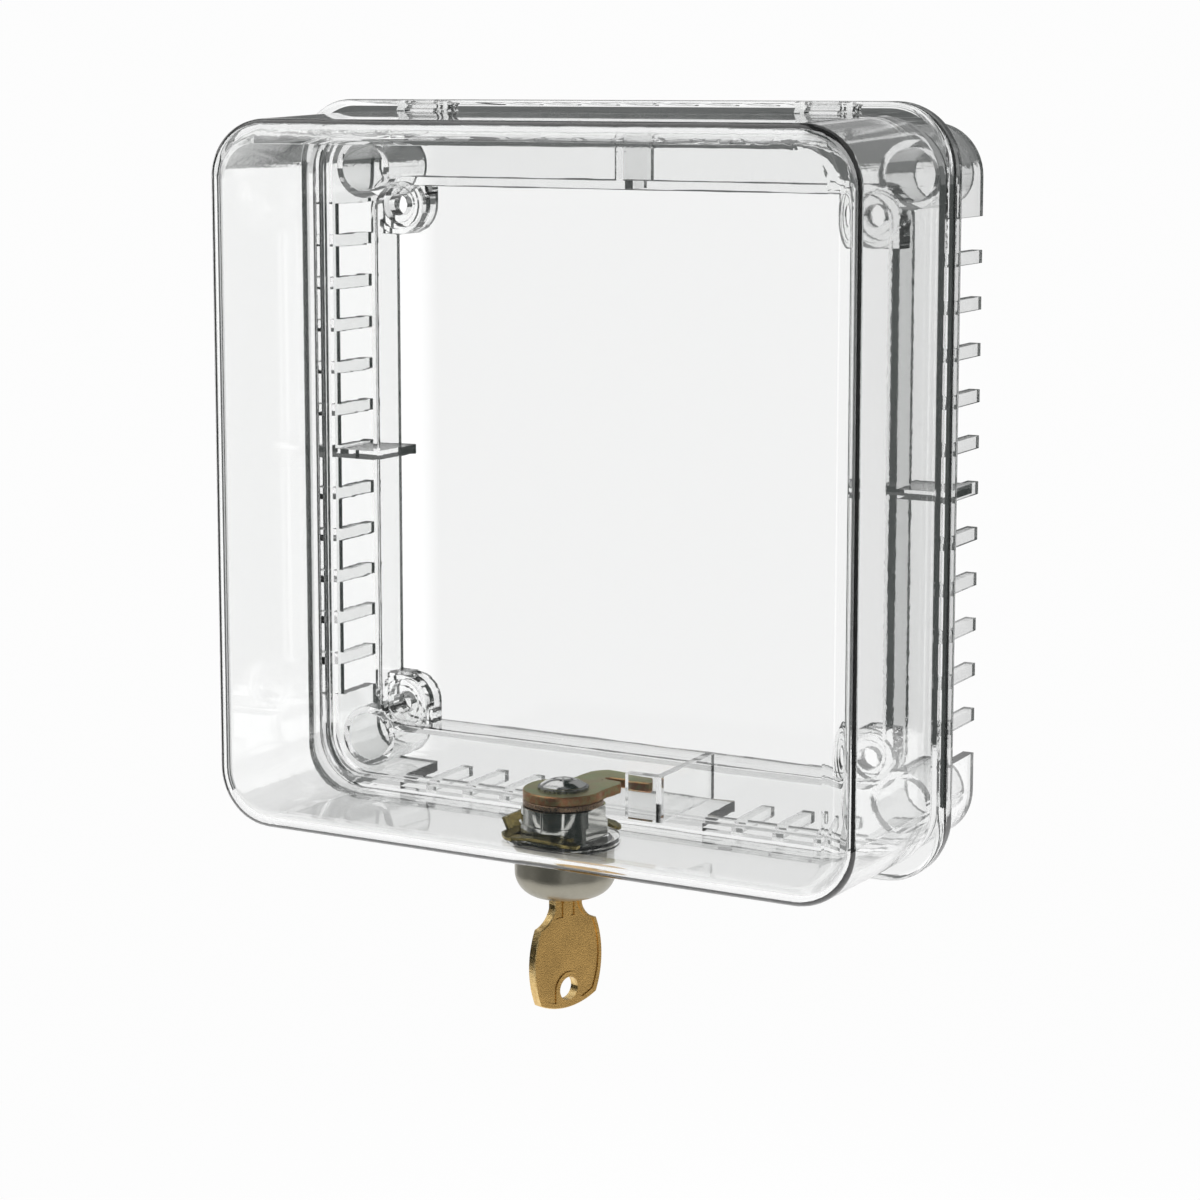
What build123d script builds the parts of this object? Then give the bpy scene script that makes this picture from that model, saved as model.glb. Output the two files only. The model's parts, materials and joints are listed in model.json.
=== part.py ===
from build123d import *
import os
from math import atan2, cos, degrees, radians, sin

# Thermostat lock box: a clear cover over a clear vented ring base that is screwed to a wall.
# Millimetres, +Z up, and the front looks towards -Y.
# The pieces are drawn with the wall face as the plane Y = 0. When they are written they are moved
# back by SCREW_SEAT, so that the origin is the centre of the four screw holes at their front ends.

os.makedirs("parts", exist_ok=True)

# ---------------------------------------------------------------- cover
FACE_WIDTH = 162.0            # flat front of the cover
FACE_HEIGHT = 165.0
COVER_DEPTH = 50.0            # front face to the back of the rim
COVER_WALL = 2.2
SIDE_LEAN = 1.6               # each side wall leans out this much on its way to the rim
FACE_CORNER = 13.5            # corner radius of the front face
FRONT_ROUND = 5.6             # rounding of the front edges; the wall bends round them at one thickness
RIM_STEP = 2.7                # the rim stands out from the side walls
RIM_DEPTH = 6.0
RIM_CORNER = 15.0
RIM_ROUND = 1.5
RABBET_STEP = 1.6             # recess inside the rim that takes the base's lip
RABBET_DEPTH = 4.5
PAD_MARGIN = 2.85             # flat seat for the lock in the cover's floor, wider than the lock's body
PAD_PROUD = 0.45              # how far the seat stands out of the leaning wall
PAD_RISE = 0.9                # height of the boss ring inside the floor

# ---------------------------------------------------------------- ring base
STANDOFF = 20.0               # wall to the back of the cover's rim
SEAT_GAP = 0.3                # between the rim and the front of the base
BASE_SHORT = 1.5              # top and bottom walls of the base, in from the recess in the rim
BASE_CORNER = 12.0
BASE_WALL = 2.5
FLANGE_THICK = 2.5
RING_BORDER = 15.7            # outer faces of the base to the edges of its window
WINDOW_CORNER = 6.0
INNER_LIP_WALL = 2.0
INNER_LIP_DEPTH = 11.0        # measured back from the front of the flange
LIP_INSET = 0.7
LIP_WALL = 1.8
LIP_REACH = 3.8               # how far the base's lip goes into the rabbet
VENT_PITCH = 10.45
TOOTH = 2.9
VENT_BRIDGE = 2.7             # floor of the vents to the back of the flange
VENT_MARGIN = 19.3            # corner of the base to the outermost vents
BOTTOM_PLAIN = 20.0           # the bottom wall has no vents this near its middle
RIB_THICK = 2.2
RIB_FOOT = 2.0                # the ribs stop this far short of the wall
SCREW_INSET = 4.8             # screw holes, in from the window's edges
SCREW_HOLE = 5.2
EAR_RADIUS = 7.2
EAR_SINK = 3.7                # front of the flange back to the front of an ear
EAR_DEPTH = 6.0               # front of an ear to the back edge of its skirt
EAR_PLATE = 3.5
EAR_SKIRT = 1.6               # wall of the skirt
COLLAR_RADIUS = 4.4
COLLAR_HEIGHT = 0.8
EAR_RIM_WALL = 1.2
EAR_RIM_HEIGHT = 1.4
POST_CENTRE = 11.5            # corner posts, in from the base's outer faces
POST_RADIUS = 7.5
POST_WALL = 1.6

# ---------------------------------------------------------------- hinge along the top edge
HINGE_TEETH = 5               # middle of the box to each hinge, in pitches of the vents
PIN_RADIUS = 1.5
PIN_CLEARANCE = 0.1
HOOK_WALL = 1.4
HOOK_WIDTH = 8.0
HOOK_MOUTH = 2.5
HOOK_SIDE_GAP = 0.4
LUG_THICK = 2.6
LUG_RADIUS = 2.9
PIN_BEHIND_RIM = 3.8          # from the back of the rim to the pin's centre line
PIN_ABOVE_BASE = 1.1          # from the base's top face up to the pin's centre line

# ---------------------------------------------------------------- cam lock
LOCK_FROM_FACE = 25.2         # front face of the cover to the lock's axis
BODY_RADIUS = 10.15
BODY_TOP_IN = 0.45            # step in of the inner end of the body
BODY_HEIGHT = 10.7            # seat to the inner end of the housing
BODY_STEP = 6.9               # seat to the step between the two body diameters
BODY_FLAT = 8.8               # axis to each flat of the double-D body
SEAM_WIDTH = 0.5              # mould seam down the front and back of the body
HOLE_CLEARANCE = 0.25
HEAD_OVER = 1.55              # the head is this much wider than the body
HEAD_HEIGHT = 10.2
HEAD_STRAIGHT = 4.8
HEAD_FACE_IN = 3.3            # side of the head in to the edge of its flat face
DOME_OUT = 0.72               # middle of the head's curved flank, as shares of its width and height
DOME_DOWN = 0.62
CAP_GAP = 0.6                 # the cap stops this far short of the cover
CAP_WALL = 0.5
PLUG_RADIUS = 6.0
PLUG_CLEARANCE = 0.05
PLUG_FLANGE = 0.9             # the plug's flange stands out this much
PLUG_FLANGE_HEIGHT = 1.8
PLUG_RECESS = 0.5             # plug face in from the face of the head
TAIL_SIZE = 6.6               # square tail that drives the stop washer and the cam
TAIL_CORNER = 0.62            # radius that trims the tail's corners, as a share of its size
TAIL_CLEARANCE = 0.06
END_GAP = 0.1                 # running gap between the housing and the stop washer
STOP_THICK = 1.4
CAM_THICK = 2.2
CAM_HUB_IN = 0.4              # the hub is this much smaller than the body's inner end
CAM_CORNER = 0.7              # corners of the hook seen from above
CAM_EDGE = 0.25               # broken edges of the cam and the stop washer
CLIP_THICK = 0.7
CLIP_BOW = 1.0                # rise of each leg's spring wave
CLIP_GROOVE = 1.25            # depth of the clip grooves in the round sides of the body
CLIP_SIDE_PLAY = 0.15         # floor of a groove to the clip's leg
CLIP_LEG = 3.55               # width of a leg
CLIP_PAST_FLAT = 0.6          # the legs end this far past the right flat
CLIP_FOLD = 3.4               # left flat to the fold of the tab at the closed end
CLIP_TRIM = 4.05              # circle that trims the clip's corners, out from the lock's body
CLIP_PLAY = 0.05
CLIP_TAB_HEIGHT = 3.2
CLIP_TAB_LEAN = 1.6
CLIP_TAB_WIDTH = 9.0
SCREW_RADIUS = 2.0
SCREW_LENGTH = 7.0
SCREW_HEAD_RADIUS = 5.2
SCREW_HEAD_HEIGHT = 1.7
SCREW_CROWN = (0.62, 0.8)     # middle of the head's crown, as shares of its radius and height
SCREW_EDGE = 0.2              # upright edge of the head, as a share of its height
SCREW_PLAY = 0.1
CROSS_TURN = 20.0             # cross recess
CROSS_WIDTH = 1.0
CROSS_LENGTH = 4.6
CROSS_DEPTH = 1.1
WASHER_RADIUS = 5.9
WASHER_THICK = 0.5
WASHER_TEETH = 14
NOTCH_RADIUS = 0.5            # between two teeth
NOTCH_OUT = 0.2

# ---------------------------------------------------------------- wafers and key
WAFERS = 5
WAFER_PITCH = 2.6
WAFER_THICK = 1.1
WAFER_WIDTH = 5.6
WAFER_PLAY = 0.12
WAFER_CHANNEL = 1.3           # depth of the housing's channels for the wafers' ends
WAFER_WINDOW_PLAY = 0.25      # the blade passes each wafer's window with this to spare
FIRST_WAFER = 3.6             # plug face to the middle of the first wafer
WAFER_LIFTS = (0.0, 0.3, 0.1, 0.4, 0.2)
SPRING_RADIUS = 0.55
SPRING_WIRE = 0.14
SPRING_TURNS = 4
SPRING_LENGTH = 2.6
SPRING_ROOM = 0.2             # room round a spring in its pocket
KEY_THICK = 2.3
BLADE_WIDTH = 7.4
BLADE_LENGTH = 17.6
KEY_PLAY = 0.15
KEY_STANDS_OFF = 0.3          # shoulder of the key to the plug face
KEY_TURN = 72.0               # degrees from +X to the key's width direction
CUT_DEPTHS = (0.9, 1.7, 1.3, 2.1, 1.0)
CUT_FLAT = 0.4                # half the flat at the bottom of a cut
CUT_RAMP = (0.6, 0.35)        # each cut's ramp, out and up
TIP_BACK = (1.6, 1.2)         # slope of the tip on the uncut edge, in and down
TIP_CUT_SIDE = 2.4
BLADE_ROOT = 1.6              # the uncut start of the blade's edge, before the first wafer
KEY_EDGE = 0.2                # broken edge round the bow
NECK_HALF = 4.1
NECK_LENGTH = 2.6
SHOULDER_HALF = 8.7
BOW_HALF = 10.5
FLARE_HEIGHT = 5.2
FLARE_IN = 0.3                # middle of the hollow flare, as shares of its width and height
FLARE_DOWN = 0.62
BOW_MIDDLE = 17.0             # shoulder line of the blade down to the widest part of the bow
BOW_CORNER = 25.6
BOW_END = 27.6
BOW_RIM = 1.1
BOW_RECESS = 0.25
KEY_HOLE_RADIUS = 2.75
KEY_HOLE_DOWN = 23.1
HOLE_COLLAR = 1.2
GROOVE_DEPTH = 0.5
GROOVE_RUN_OUT = 6.0          # the grooves run on into the bow by this much
FRONT_GROOVES = ((-2.6, 2.2), (1.4, 1.2))     # place across the blade, width
BACK_GROOVES = ((0.0, 1.5),)

# ---------------------------------------------------------------- strike on the base, from the lock's axis
STRIKE_NEAR = 16.8            # to the edge of the strike plate that the hook passes
STRIKE_FAR = 26.0
STRIKE_FRONT = -1.3
STRIKE_PLATE = 2.5
STRIKE_WALL = 2.1
STRIKE_ABOVE_CAM = 5.7        # top of the strike above the top of the cam
STRIKE_HEIGHT = 10.5

# ---------------------------------------------------------------- worked out from the above
BACK_WIDTH = FACE_WIDTH + 2 * SIDE_LEAN
BACK_HEIGHT = FACE_HEIGHT + 2 * SIDE_LEAN
BACK_CORNER = FACE_CORNER + SIDE_LEAN
LEAN_ANGLE = degrees(atan2(SIDE_LEAN, COVER_DEPTH))
RIM_WIDTH = BACK_WIDTH + 2 * RIM_STEP
RIM_HEIGHT = BACK_HEIGHT + 2 * RIM_STEP
INNER_ROUND = FRONT_ROUND - COVER_WALL
HOLLOW_WIDTH = BACK_WIDTH - 2 * COVER_WALL
HOLLOW_HEIGHT = BACK_HEIGHT - 2 * COVER_WALL
HOLLOW_CORNER = BACK_CORNER - COVER_WALL
RABBET_WIDTH = HOLLOW_WIDTH + 2 * RABBET_STEP
RABBET_HEIGHT = HOLLOW_HEIGHT + 2 * RABBET_STEP
BASE_WIDTH = RABBET_WIDTH
BASE_HEIGHT = RABBET_HEIGHT - 2 * BASE_SHORT
WINDOW_WIDTH = BASE_WIDTH - 2 * RING_BORDER
WINDOW_HEIGHT = BASE_HEIGHT - 2 * RING_BORDER
SCREWS_ACROSS = WINDOW_WIDTH - 2 * SCREW_INSET
SCREWS_UP = WINDOW_HEIGHT - 2 * SCREW_INSET
FRONT_Y = -(STANDOFF + COVER_DEPTH)
BASE_FRONT = STANDOFF - SEAT_GAP
FLANGE_BACK = BASE_FRONT - FLANGE_THICK
VENT_DEPTH = FLANGE_BACK - VENT_BRIDGE
EAR_FRONT = BASE_FRONT - EAR_SINK
LOCK_Y = FRONT_Y + LOCK_FROM_FACE
BODY_TOP_RADIUS = BODY_RADIUS - BODY_TOP_IN
PAD_RADIUS = BODY_RADIUS + PAD_MARGIN
HEAD_RADIUS = BODY_RADIUS + HEAD_OVER
HEAD_FACE_RADIUS = HEAD_RADIUS - HEAD_FACE_IN
PLUG_FLANGE_RADIUS = PLUG_RADIUS + PLUG_FLANGE
CAM_HUB_RADIUS = BODY_TOP_RADIUS - CAM_HUB_IN
CLIP_GROOVE_FLOOR = BODY_RADIUS - CLIP_GROOVE
CLIP_INNER = CLIP_GROOVE_FLOOR + CLIP_SIDE_PLAY
CLIP_OUTER = CLIP_INNER + CLIP_LEG
CLIP_LEG_END = BODY_FLAT + CLIP_PAST_FLAT
CLIP_BACK = BODY_FLAT + CLIP_FOLD
CLIP_RADIUS = BODY_RADIUS + CLIP_TRIM
FLOOR_OUT_Z = -(FACE_HEIGHT / 2 + SIDE_LEAN * LOCK_FROM_FACE / COVER_DEPTH)
SEAT_Z = FLOOR_OUT_Z - PAD_PROUD
PAD_TOP_Z = FLOOR_OUT_Z + COVER_WALL + PAD_RISE
BODY_TOP_Z = SEAT_Z + BODY_HEIGHT
HEAD_Z = SEAT_Z - HEAD_HEIGHT
PLUG_FACE_Z = HEAD_Z + PLUG_RECESS
CAM_UNDER_Z = BODY_TOP_Z + END_GAP + STOP_THICK
CAM_TOP_Z = CAM_UNDER_Z + CAM_THICK
SHOULDER_Z = PLUG_FACE_Z - KEY_STANDS_OFF
PIN_Y = -(STANDOFF - PIN_BEHIND_RIM)
PIN_Z = BASE_HEIGHT / 2 + PIN_ABOVE_BASE
HOOK_INNER = PIN_RADIUS + PIN_CLEARANCE
HOOK_OUTER = HOOK_INNER + HOOK_WALL
SCREW_SEAT = EAR_FRONT + COLLAR_HEIGHT


def out_from_wall(distance):
    """Sketch plane parallel to the wall, this far out from it, looking to the front."""
    return Plane.XZ.offset(distance)


def lock_plane(z, turn=0.0):
    """Level sketch plane on the lock's axis, turned about it."""
    x_dir = (cos(radians(turn)), sin(radians(turn)), 0)
    return Plane(origin=(0, LOCK_Y, z), x_dir=x_dir, z_dir=(0, 0, 1))


def key_plane():
    """The key's own flat plane: x is the key's width, y is up."""
    turn = radians(KEY_TURN)
    return Plane(origin=(0, LOCK_Y, 0), x_dir=(cos(turn), sin(turn), 0), z_dir=(sin(turn), -cos(turn), 0))


def axis_plane():
    """Upright plane through the lock's axis for turned profiles: x is the radius, y is up."""
    return Plane(origin=(0, LOCK_Y, 0), x_dir=(1, 0, 0), z_dir=(0, -1, 0))


LOCK_AXIS = Axis((0, LOCK_Y, 0), (0, 0, 1))
HINGE_X = HINGE_TEETH * VENT_PITCH
HINGE_SIDES = (-HINGE_X, HINGE_X)

# ================================================================ cover
with BuildPart() as cover_shell:
    with BuildSketch(out_from_wall(STANDOFF)):
        RectangleRounded(BACK_WIDTH, BACK_HEIGHT, BACK_CORNER)
    extrude(amount=COVER_DEPTH, taper=LEAN_ANGLE)
    fillet(cover_shell.faces().sort_by(Axis.Y)[0].edges(), FRONT_ROUND)
    with BuildSketch(out_from_wall(STANDOFF)):
        RectangleRounded(RIM_WIDTH, RIM_HEIGHT, RIM_CORNER)
    extrude(amount=RIM_DEPTH)
    fillet(cover_shell.faces().sort_by(Axis.Y)[-1].edges(), RIM_ROUND)
    rim_step = cover_shell.faces().filter_by(Plane.XZ).sort_by(Axis.Y)[-2]
    fillet(rim_step.outer_wire().edges(), RIM_ROUND)
    # the seat for the lock, inside and outside the floor
    with BuildSketch(lock_plane(SEAT_Z)):
        Circle(PAD_RADIUS)
    extrude(amount=PAD_TOP_Z - SEAT_Z)
    # hollow, and the recess for the base's lip
    with BuildSketch(out_from_wall(STANDOFF)):
        RectangleRounded(HOLLOW_WIDTH, HOLLOW_HEIGHT, HOLLOW_CORNER)
    hollow = extrude(amount=COVER_DEPTH - COVER_WALL, taper=LEAN_ANGLE, mode=Mode.PRIVATE)
    hollow = hollow.fillet(INNER_ROUND, hollow.faces().sort_by(Axis.Y)[0].edges())
    with BuildSketch(lock_plane(FLOOR_OUT_Z)):
        Circle(PAD_RADIUS)
    seat = extrude(amount=PAD_TOP_Z - FLOOR_OUT_Z, mode=Mode.PRIVATE)
    add(hollow - seat, mode=Mode.SUBTRACT)
    with BuildSketch(out_from_wall(STANDOFF)):
        RectangleRounded(RABBET_WIDTH, RABBET_HEIGHT, HOLLOW_CORNER + RABBET_STEP)
    extrude(amount=RABBET_DEPTH, mode=Mode.SUBTRACT)
    # double-D hole for the lock
    with BuildSketch(lock_plane(SEAT_Z)):
        Circle(BODY_RADIUS + HOLE_CLEARANCE)
        Rectangle(2 * (BODY_FLAT + HOLE_CLEARANCE), 4 * BODY_RADIUS, mode=Mode.INTERSECT)
    extrude(amount=PAD_TOP_Z - SEAT_Z, mode=Mode.SUBTRACT)
    # two hooks behind the top of the rim hang the cover on the base's pins
    for x in HINGE_SIDES:
        with BuildSketch(Plane.YZ.offset(x - HOOK_WIDTH / 2)):
            with Locations((PIN_Y, PIN_Z)):
                Circle(HOOK_OUTER)
            with Locations((-STANDOFF - RIM_ROUND, PIN_Z)):
                Rectangle(PIN_BEHIND_RIM + RIM_ROUND, 2 * HOOK_INNER, align=(Align.MIN, Align.CENTER))
            with Locations((PIN_Y, PIN_Z)):
                Circle(HOOK_INNER, mode=Mode.SUBTRACT)
                Rectangle(
                    HOOK_MOUTH, HOOK_OUTER, rotation=45, align=(Align.CENTER, Align.MAX), mode=Mode.SUBTRACT
                )
        extrude(amount=HOOK_WIDTH)
cover_shell.part.label = "cover_shell"

# ================================================================ ring base
VENT = VENT_PITCH - TOOTH


def vent_places(side_length):
    """Middles of the vents along a side of the base, from the middle of that side."""
    count = round((side_length - 2 * VENT_MARGIN) / VENT_PITCH)
    return [(i - (count - 1) / 2) * VENT_PITCH for i in range(count)]


SIDE_VENTS = vent_places(BASE_HEIGHT)
HINGE_HALF = HOOK_WIDTH / 2 + HOOK_SIDE_GAP + LUG_THICK
TOP_VENTS = [x for x in vent_places(BASE_WIDTH) if abs(x) + VENT / 2 < HINGE_X - HINGE_HALF]
BOTTOM_VENTS = [x for x in vent_places(BASE_WIDTH) if abs(x) > BOTTOM_PLAIN]

with BuildPart() as ring_base:
    with BuildSketch(out_from_wall(0)):
        RectangleRounded(BASE_WIDTH, BASE_HEIGHT, BASE_CORNER)
        RectangleRounded(
            BASE_WIDTH - 2 * BASE_WALL,
            BASE_HEIGHT - 2 * BASE_WALL,
            BASE_CORNER - BASE_WALL,
            mode=Mode.SUBTRACT,
        )
    extrude(amount=BASE_FRONT)
    with BuildSketch(out_from_wall(FLANGE_BACK)):
        RectangleRounded(BASE_WIDTH, BASE_HEIGHT, BASE_CORNER)
        RectangleRounded(WINDOW_WIDTH, WINDOW_HEIGHT, WINDOW_CORNER, mode=Mode.SUBTRACT)
    extrude(amount=FLANGE_THICK)
    with BuildSketch(out_from_wall(BASE_FRONT - INNER_LIP_DEPTH)):
        RectangleRounded(
            WINDOW_WIDTH + 2 * INNER_LIP_WALL,
            WINDOW_HEIGHT + 2 * INNER_LIP_WALL,
            WINDOW_CORNER + INNER_LIP_WALL,
        )
        RectangleRounded(WINDOW_WIDTH, WINDOW_HEIGHT, WINDOW_CORNER, mode=Mode.SUBTRACT)
    extrude(amount=INNER_LIP_DEPTH)
    with BuildSketch(out_from_wall(BASE_FRONT)):
        RectangleRounded(BASE_WIDTH - 2 * LIP_INSET, BASE_HEIGHT - 2 * LIP_INSET, BASE_CORNER - LIP_INSET)
        RectangleRounded(
            BASE_WIDTH - 2 * (LIP_INSET + LIP_WALL),
            BASE_HEIGHT - 2 * (LIP_INSET + LIP_WALL),
            BASE_CORNER - LIP_INSET - LIP_WALL,
            mode=Mode.SUBTRACT,
        )
    extrude(amount=LIP_REACH)
    # corner posts
    with BuildSketch(out_from_wall(0)):
        with GridLocations(BASE_WIDTH - 2 * POST_CENTRE, BASE_HEIGHT - 2 * POST_CENTRE, 2, 2):
            Circle(POST_RADIUS)
            Circle(POST_RADIUS - POST_WALL, mode=Mode.SUBTRACT)
    extrude(amount=FLANGE_BACK)
    # screw ears: round towards the middle, square towards the window's two edges, hollow behind
    ear_reach = SCREW_INSET + INNER_LIP_WALL / 2
    with BuildSketch(out_from_wall(EAR_FRONT - EAR_DEPTH)):
        for side_x, align_x in ((-1, Align.MAX), (1, Align.MIN)):
            for side_z, align_z in ((-1, Align.MAX), (1, Align.MIN)):
                centre = (side_x * SCREWS_ACROSS / 2, side_z * SCREWS_UP / 2)
                with Locations(centre):
                    Circle(EAR_RADIUS)
                with Locations((centre[0], centre[1] - side_z * EAR_RADIUS)):
                    Rectangle(ear_reach, EAR_RADIUS + ear_reach, align=(align_x, align_z))
                with Locations((centre[0] - side_x * EAR_RADIUS, centre[1])):
                    Rectangle(EAR_RADIUS + ear_reach, ear_reach, align=(align_x, align_z))
        RectangleRounded(
            WINDOW_WIDTH + INNER_LIP_WALL,
            WINDOW_HEIGHT + INNER_LIP_WALL,
            WINDOW_CORNER + INNER_LIP_WALL / 2,
            mode=Mode.INTERSECT,
        )
    extrude(amount=EAR_DEPTH)
    with BuildSketch(out_from_wall(EAR_FRONT - EAR_DEPTH)):
        with GridLocations(SCREWS_ACROSS, SCREWS_UP, 2, 2):
            Circle(EAR_RADIUS - EAR_SKIRT)
    extrude(amount=EAR_DEPTH - EAR_PLATE, mode=Mode.SUBTRACT)
    with BuildSketch(out_from_wall(EAR_FRONT)):
        with GridLocations(SCREWS_ACROSS, SCREWS_UP, 2, 2):
            Circle(COLLAR_RADIUS)
    extrude(amount=COLLAR_HEIGHT)
    with BuildSketch(out_from_wall(EAR_FRONT)):
        with GridLocations(SCREWS_ACROSS, SCREWS_UP, 2, 2):
            Circle(EAR_RADIUS)
            Circle(EAR_RADIUS - EAR_RIM_WALL, mode=Mode.SUBTRACT)
        Rectangle(WINDOW_WIDTH + INNER_LIP_WALL, WINDOW_HEIGHT + INNER_LIP_WALL, mode=Mode.INTERSECT)
    extrude(amount=EAR_RIM_HEIGHT)
    # stiffening ribs across the ring at the middle of the sides and the top
    with BuildSketch(out_from_wall(RIB_FOOT)):
        for side in (-1, 1):
            with Locations((side * (BASE_WIDTH - RING_BORDER) / 2, 0)):
                Rectangle(RING_BORDER, RIB_THICK)
        with Locations((0, (BASE_HEIGHT - RING_BORDER) / 2)):
            Rectangle(RIB_THICK, RING_BORDER)
    extrude(amount=FLANGE_BACK - RIB_FOOT)
    # comb of vents in the four walls, open to the wall
    with BuildSketch(out_from_wall(0)):
        for side in (-1, 1):
            for place in SIDE_VENTS:
                with Locations((side * BASE_WIDTH / 2, place)):
                    Rectangle(3 * BASE_WALL, VENT)
        for place in TOP_VENTS:
            with Locations((place, BASE_HEIGHT / 2)):
                Rectangle(VENT, 3 * BASE_WALL)
        for place in BOTTOM_VENTS:
            with Locations((place, -BASE_HEIGHT / 2)):
                Rectangle(VENT, 3 * BASE_WALL)
    extrude(amount=VENT_DEPTH, mode=Mode.SUBTRACT)
    # strike: a plate that the hook of the cam turns behind, on a side wall that runs back to the flange
    strike_plane = lock_plane(CAM_TOP_Z + STRIKE_ABOVE_CAM)
    strike_back = -BASE_FRONT - LOCK_Y
    with BuildSketch(strike_plane):
        with Locations((STRIKE_FAR, STRIKE_FRONT)):
            Rectangle(STRIKE_FAR - STRIKE_NEAR, STRIKE_PLATE, align=(Align.MAX, Align.MIN))
            Rectangle(STRIKE_WALL, strike_back - STRIKE_FRONT, align=(Align.MAX, Align.MIN))
    extrude(amount=-STRIKE_HEIGHT)
    # hinge: a notch for each hook, two lugs beside it and the pin between them
    for x in HINGE_SIDES:
        with BuildSketch(Plane.YZ.offset(x - HOOK_WIDTH / 2 - HOOK_SIDE_GAP)):
            with Locations((-BASE_FRONT, BASE_HEIGHT / 2 + PIN_ABOVE_BASE)):
                Rectangle(
                    BASE_FRONT + PIN_Y + HOOK_OUTER + HOOK_SIDE_GAP,
                    HOOK_OUTER + HOOK_SIDE_GAP,
                    align=(Align.MIN, Align.MAX),
                )
        extrude(amount=HOOK_WIDTH + 2 * HOOK_SIDE_GAP, mode=Mode.SUBTRACT)
        for lug_x in (x - HINGE_HALF, x + HINGE_HALF - LUG_THICK):
            with BuildSketch(Plane.YZ.offset(lug_x)):
                with Locations((PIN_Y, PIN_Z)):
                    Circle(LUG_RADIUS)
                with Locations((PIN_Y, PIN_Z)):
                    Rectangle(2 * LUG_RADIUS, PIN_ABOVE_BASE + BASE_WALL, align=(Align.CENTER, Align.MAX))
            extrude(amount=LUG_THICK)
        with BuildSketch(Plane.YZ.offset(x - HINGE_HALF)):
            with Locations((PIN_Y, PIN_Z)):
                Circle(PIN_RADIUS)
        extrude(amount=2 * HINGE_HALF)
    # screw holes last, through collar and ear
    with BuildSketch(out_from_wall(0)):
        with GridLocations(SCREWS_ACROSS, SCREWS_UP, 2, 2):
            Circle(SCREW_HOLE / 2)
    extrude(amount=SCREW_SEAT, mode=Mode.SUBTRACT)
ring_base.part.label = "ring_base"

# ================================================================ lock housing and its cap
BORE_RADIUS = PLUG_RADIUS + PLUG_CLEARANCE
COUNTERBORE = PLUG_FLANGE_RADIUS + PLUG_CLEARANCE
CAP_TOP_Z = SEAT_Z - CAP_GAP


def head_outline(inset):
    """Half outline of the domed head, moved in by the thickness of the cap."""
    radius, face = HEAD_RADIUS - inset, HEAD_FACE_RADIUS - inset
    dome_z, face_z = SEAT_Z - HEAD_STRAIGHT, HEAD_Z + inset
    return radius, face, dome_z, face_z


def dome_middle(inset):
    """A point on the curved flank of the head, between the straight side and the face."""
    radius, face, dome_z, face_z = head_outline(inset)
    return (face + DOME_OUT * (radius - face), dome_z + DOME_DOWN * (face_z - dome_z))


with BuildPart() as lock_housing:
    radius, face, dome_z, face_z = head_outline(CAP_WALL)
    with BuildSketch(axis_plane()):
        with BuildLine():
            Polyline((0, face_z), (0, BODY_TOP_Z), (BODY_TOP_RADIUS, BODY_TOP_Z))
            Polyline((BODY_TOP_RADIUS, BODY_TOP_Z), (BODY_TOP_RADIUS, SEAT_Z + BODY_STEP))
            Polyline((BODY_TOP_RADIUS, SEAT_Z + BODY_STEP), (BODY_RADIUS, SEAT_Z + BODY_STEP))
            Polyline((BODY_RADIUS, SEAT_Z + BODY_STEP), (BODY_RADIUS, SEAT_Z), (radius, SEAT_Z))
            Line((radius, SEAT_Z), (radius, dome_z))
            ThreePointArc((radius, dome_z), dome_middle(CAP_WALL), (face, face_z))
            Line((face, face_z), (0, face_z))
        make_face()
    revolve(axis=LOCK_AXIS)
    # mould seam down the front and the back of the body
    for side in (-1, 1):
        with BuildSketch(lock_plane(SEAT_Z)):
            with Locations((0, side * BODY_TOP_RADIUS)):
                Circle(SEAM_WIDTH)
        extrude(amount=BODY_HEIGHT)
    # flats of the double-D body, clip grooves in its round sides
    for side in (-1, 1):
        with BuildSketch(lock_plane(SEAT_Z)):
            with Locations((side * BODY_FLAT, 0)):
                Rectangle(
                    BODY_RADIUS, 3 * BODY_RADIUS, align=(Align.MIN if side > 0 else Align.MAX, Align.CENTER)
                )
        extrude(amount=BODY_HEIGHT, mode=Mode.SUBTRACT)
        with BuildSketch(lock_plane(PAD_TOP_Z)):
            with Locations((0, side * CLIP_GROOVE_FLOOR)):
                Rectangle(
                    3 * BODY_RADIUS, BODY_RADIUS, align=(Align.CENTER, Align.MIN if side > 0 else Align.MAX)
                )
        extrude(amount=CLIP_THICK + CLIP_BOW + CLIP_PLAY, mode=Mode.SUBTRACT)
    # bore for the plug, counterbore for its flange
    with BuildSketch(lock_plane(face_z)):
        Circle(BORE_RADIUS)
    extrude(amount=BODY_TOP_Z - face_z, mode=Mode.SUBTRACT)
    with BuildSketch(lock_plane(face_z)):
        Circle(COUNTERBORE)
    extrude(amount=PLUG_FACE_Z + PLUG_FLANGE_HEIGHT + PLUG_CLEARANCE - face_z, mode=Mode.SUBTRACT)
    # two channels along the bore that the wafers drop into when the key is out
    with BuildSketch(lock_plane(PLUG_FACE_Z + PLUG_FLANGE_HEIGHT, KEY_TURN)):
        Rectangle(2 * (BORE_RADIUS + WAFER_CHANNEL), WAFER_WIDTH + 4 * WAFER_PLAY)
    extrude(amount=FIRST_WAFER + WAFERS * WAFER_PITCH - PLUG_FLANGE_HEIGHT, mode=Mode.SUBTRACT)
lock_housing.part.label = "lock_housing"

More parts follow.
